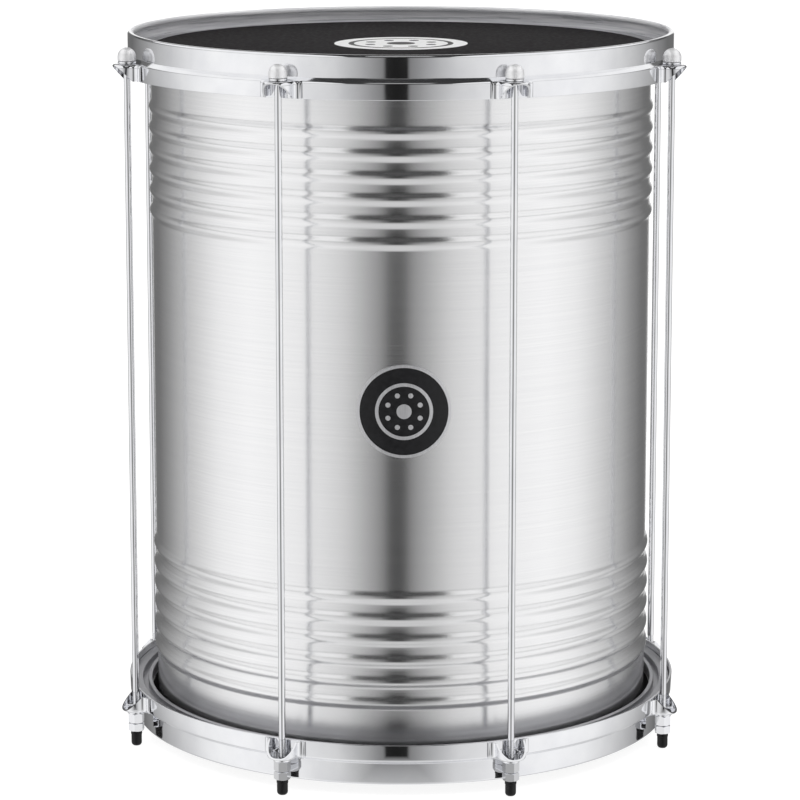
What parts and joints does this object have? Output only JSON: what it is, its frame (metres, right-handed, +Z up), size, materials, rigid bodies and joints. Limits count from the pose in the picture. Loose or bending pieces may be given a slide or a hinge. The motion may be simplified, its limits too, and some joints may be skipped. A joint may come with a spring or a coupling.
{
  "type": "surdo",
  "caption": "Tall two-headed bass drum: ribbed aluminium shell, black heads, chrome hoops with pressed ears, full-length tension rods and rubber-capped rod ends.",
  "frame": {"origin": "on the drum axis, on the plane of the rubber feet", "axes": "+Z up along the drum axis towards the batter head, -Y towards the badge, +X to the right seen from the badge side"},
  "size_m": [0.51, 0.51, 0.6501],
  "materials": {
    "shell_aluminium": "bare sheet, finely brushed round the drum",
    "chrome": "polished chrome plate on steel",
    "flesh_hoop_metal": "satin",
    "drum_skin": "black grained synthetic leather with a low sheen",
    "black_rubber": "moulded, slightly glossy",
    "badge_black": "black enamel with silver rings"
  },
  "bodies": {
    "drum_body": {"shell": "shell_aluminium", "batter_head": "drum_skin", "resonant_head": "drum_skin", "badge": "badge_black"},
    "top_hoop_set": {"top_hoop": "chrome", "batter_flesh_hoop": "flesh_hoop_metal", "tension_rod_1": "chrome", "tension_rod_2": "chrome", "tension_rod_3": "chrome", "tension_rod_4": "chrome", "tension_rod_5": "chrome", "tension_rod_6": "chrome", "tension_rod_7": "chrome", "tension_rod_8": "chrome", "head_washer_1": "chrome", "head_washer_2": "chrome", "head_washer_3": "chrome", "head_washer_4": "chrome", "head_washer_5": "chrome", "head_washer_6": "chrome", "head_washer_7": "chrome", "head_washer_8": "chrome", "rubber_cap_1": "black_rubber", "rubber_cap_2": "black_rubber", "rubber_cap_3": "black_rubber", "rubber_cap_4": "black_rubber", "rubber_cap_5": "black_rubber", "rubber_cap_6": "black_rubber", "rubber_cap_7": "black_rubber", "rubber_cap_8": "black_rubber"},
    "bottom_hoop_set": {"bottom_hoop": "chrome", "resonant_flesh_hoop": "flesh_hoop_metal", "lower_washer_1": "chrome", "lower_washer_2": "chrome", "lower_washer_3": "chrome", "lower_washer_4": "chrome", "lower_washer_5": "chrome", "lower_washer_6": "chrome", "lower_washer_7": "chrome", "lower_washer_8": "chrome"},
    "nut_pair_1": {"tuning_nut_1": "chrome", "lock_nut_1": "chrome"},
    "nut_pair_2": {"tuning_nut_2": "chrome", "lock_nut_2": "chrome"},
    "nut_pair_3": {"tuning_nut_3": "chrome", "lock_nut_3": "chrome"},
    "nut_pair_4": {"tuning_nut_4": "chrome", "lock_nut_4": "chrome"},
    "nut_pair_5": {"tuning_nut_5": "chrome", "lock_nut_5": "chrome"},
    "nut_pair_6": {"tuning_nut_6": "chrome", "lock_nut_6": "chrome"},
    "nut_pair_7": {"tuning_nut_7": "chrome", "lock_nut_7": "chrome"},
    "nut_pair_8": {"tuning_nut_8": "chrome", "lock_nut_8": "chrome"}
  },
  "joints": [
    {"name": "top_hoop_tighten", "type": "slide", "parent": "drum_body", "child": "top_hoop_set", "axis": [0, 0, -1], "range_m": [0, 0.0025]},
    {"name": "bottom_hoop_tighten", "type": "slide", "parent": "drum_body", "child": "bottom_hoop_set", "axis": [0, 0, 1], "range_m": [0, 0.0025]},
    {"name": "tuning_nut_turn_1", "type": "hinge", "parent": "bottom_hoop_set", "child": "nut_pair_1", "pos_m": [0.09996, -0.24132, 0.0226], "axis": [0, 0, 1], "range_deg": [0, 1800]},
    {"name": "tuning_nut_turn_2", "type": "hinge", "parent": "bottom_hoop_set", "child": "nut_pair_2", "pos_m": [0.24132, -0.09996, 0.0226], "axis": [0, 0, 1], "range_deg": [0, 1800]},
    {"name": "tuning_nut_turn_3", "type": "hinge", "parent": "bottom_hoop_set", "child": "nut_pair_3", "pos_m": [0.24132, 0.09996, 0.0226], "axis": [0, 0, 1], "range_deg": [0, 1800]},
    {"name": "tuning_nut_turn_4", "type": "hinge", "parent": "bottom_hoop_set", "child": "nut_pair_4", "pos_m": [0.09996, 0.24132, 0.0226], "axis": [0, 0, 1], "range_deg": [0, 1800]},
    {"name": "tuning_nut_turn_5", "type": "hinge", "parent": "bottom_hoop_set", "child": "nut_pair_5", "pos_m": [-0.09996, 0.24132, 0.0226], "axis": [0, 0, 1], "range_deg": [0, 1800]},
    {"name": "tuning_nut_turn_6", "type": "hinge", "parent": "bottom_hoop_set", "child": "nut_pair_6", "pos_m": [-0.24132, 0.09996, 0.0226], "axis": [0, 0, 1], "range_deg": [0, 1800]},
    {"name": "tuning_nut_turn_7", "type": "hinge", "parent": "bottom_hoop_set", "child": "nut_pair_7", "pos_m": [-0.24132, -0.09996, 0.0226], "axis": [0, 0, 1], "range_deg": [0, 1800]},
    {"name": "tuning_nut_turn_8", "type": "hinge", "parent": "bottom_hoop_set", "child": "nut_pair_8", "pos_m": [-0.09996, -0.24132, 0.0226], "axis": [0, 0, 1], "range_deg": [0, 1800]}
  ],
  "couplings": [
    {"joint": "bottom_hoop_tighten", "follows": "top_hoop_tighten", "ratio": 1},
    {"joint": "tuning_nut_turn_1", "follows": "top_hoop_tighten", "rad_per_m": 12566},
    {"joint": "tuning_nut_turn_2", "follows": "top_hoop_tighten", "rad_per_m": 12566},
    {"joint": "tuning_nut_turn_3", "follows": "top_hoop_tighten", "rad_per_m": 12566},
    {"joint": "tuning_nut_turn_4", "follows": "top_hoop_tighten", "rad_per_m": 12566},
    {"joint": "tuning_nut_turn_5", "follows": "top_hoop_tighten", "rad_per_m": 12566},
    {"joint": "tuning_nut_turn_6", "follows": "top_hoop_tighten", "rad_per_m": 12566},
    {"joint": "tuning_nut_turn_7", "follows": "top_hoop_tighten", "rad_per_m": 12566},
    {"joint": "tuning_nut_turn_8", "follows": "top_hoop_tighten", "rad_per_m": 12566}
  ]
}
